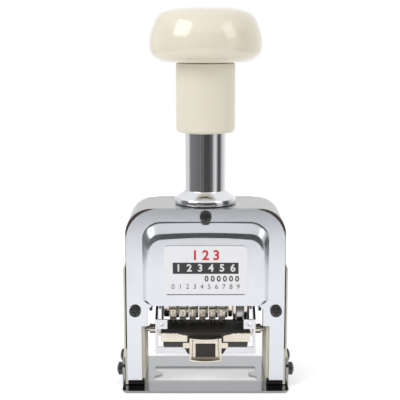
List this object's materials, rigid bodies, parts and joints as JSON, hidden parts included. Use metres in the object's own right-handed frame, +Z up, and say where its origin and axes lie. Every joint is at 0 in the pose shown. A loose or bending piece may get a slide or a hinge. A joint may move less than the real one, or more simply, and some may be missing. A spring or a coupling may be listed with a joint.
{
  "type": "numbering machine",
  "caption": "Hand numbering machine: a palm knob drives a carriage of number wheels down through a steel frame while an ink tray swings clear of the stamping window.",
  "frame": {"origin": "on the table under the wheel axle, midway between the side blocks", "axes": "+Z up along the plunger, -Y towards the front plate, +X to the right seen from the front"},
  "size_m": [0.075, 0.0464, 0.157],
  "materials": {
    "bright_chrome": "polished",
    "satin_chrome": "satin",
    "cream_gloss": "polished",
    "cream_satin": "satin",
    "warm_nickel": "satin",
    "plain_steel": "satin",
    "black_oxide": "satin",
    "label_white": "satin",
    "ink_felt": "matt",
    "shoe_brass": "satin"
  },
  "bodies": {
    "frame": {"base_plate": "bright_chrome", "side_block_left": "cream_satin", "side_block_right": "cream_satin", "frame_strap": "satin_chrome", "front_plate": "satin_chrome", "back_plate": "satin_chrome", "top_bridge": "plain_steel", "guide_sleeve": "bright_chrome", "label_plate": "label_white", "front_screw_top": "black_oxide", "front_screw_left": "black_oxide", "front_screw_right": "black_oxide", "back_screw_top": "black_oxide", "back_screw_left": "black_oxide", "back_screw_right": "black_oxide", "ear_screw_left_front": "black_oxide", "ear_screw_left_back": "black_oxide", "ear_screw_right_front": "black_oxide", "ear_screw_right_back": "black_oxide"},
    "plunger": {"palm_knob": "cream_gloss", "knob_skirt": "cream_satin", "plunger_rod": "plain_steel", "rod_nut": "plain_steel", "return_spring": "plain_steel", "carriage_yoke": "bright_chrome", "wheel_axle": "plain_steel", "guide_shoe_left": "shoe_brass", "guide_shoe_right": "shoe_brass", "collar_left": "warm_nickel", "collar_right": "warm_nickel", "repeat_disc": "warm_nickel", "end_disc": "warm_nickel", "detent_comb": "warm_nickel"},
    "wheel_1": {"number_wheel_1": "warm_nickel"},
    "wheel_2": {"number_wheel_2": "warm_nickel"},
    "wheel_3": {"number_wheel_3": "warm_nickel"},
    "wheel_4": {"number_wheel_4": "warm_nickel"},
    "wheel_5": {"number_wheel_5": "warm_nickel"},
    "wheel_6": {"number_wheel_6": "warm_nickel"},
    "repeat_wheel": {"repeat_ratchet": "plain_steel"},
    "yoke": {"ink_yoke": "bright_chrome", "stud_collar_left": "warm_nickel", "stud_collar_right": "warm_nickel"},
    "tray": {"ink_tray": "warm_nickel", "felt_pad": "ink_felt", "pull_tab": "warm_nickel", "tab_spring": "warm_nickel"},
    "pawls": {"pawl_carrier": "plain_steel"}
  },
  "joints": [
    {"name": "plunger_slide", "type": "slide", "parent": "frame", "child": "plunger", "axis": [0, 0, -1], "range_m": [0, 0.0241], "stiffness_N_per_m": 400, "springref_m": -0.03, "deforming": ["return_spring"]},
    {"name": "wheel_1_turn", "type": "hinge", "parent": "plunger", "child": "wheel_1", "pos_m": [-0.0137, 0, 0.0331], "axis": [1, 0, 0], "continuous": true},
    {"name": "wheel_2_turn", "type": "hinge", "parent": "plunger", "child": "wheel_2", "pos_m": [-0.00956, 0, 0.0331], "axis": [1, 0, 0], "continuous": true},
    {"name": "wheel_3_turn", "type": "hinge", "parent": "plunger", "child": "wheel_3", "pos_m": [-0.00542, 0, 0.0331], "axis": [1, 0, 0], "continuous": true},
    {"name": "wheel_4_turn", "type": "hinge", "parent": "plunger", "child": "wheel_4", "pos_m": [-0.00128, 0, 0.0331], "axis": [1, 0, 0], "continuous": true},
    {"name": "wheel_5_turn", "type": "hinge", "parent": "plunger", "child": "wheel_5", "pos_m": [0.00286, 0, 0.0331], "axis": [1, 0, 0], "continuous": true},
    {"name": "wheel_6_turn", "type": "hinge", "parent": "plunger", "child": "wheel_6", "pos_m": [0.007, 0, 0.0331], "axis": [1, 0, 0], "continuous": true},
    {"name": "repeat_turn", "type": "hinge", "parent": "plunger", "child": "repeat_wheel", "pos_m": [0.0146, 0, 0.0331], "axis": [1, 0, 0], "continuous": true},
    {"name": "ink_swing", "type": "hinge", "parent": "plunger", "child": "yoke", "pos_m": [0, 0, 0.0331], "axis": [-1, 0, 0], "range_deg": [0, 90]},
    {"name": "tray_pull", "type": "slide", "parent": "yoke", "child": "tray", "axis": [0, -1, 0], "range_m": [0, 0.008]},
    {"name": "pawl_swing", "type": "hinge", "parent": "plunger", "child": "pawls", "pos_m": [0, 0, 0.0331], "axis": [1, 0, 0], "range_deg": [0, 36]}
  ],
  "couplings": [
    {"joint": "ink_swing", "follows": "plunger_slide", "rad_per_m": 65.17},
    {"joint": "pawl_swing", "follows": "plunger_slide", "rad_per_m": 26.07}
  ]
}
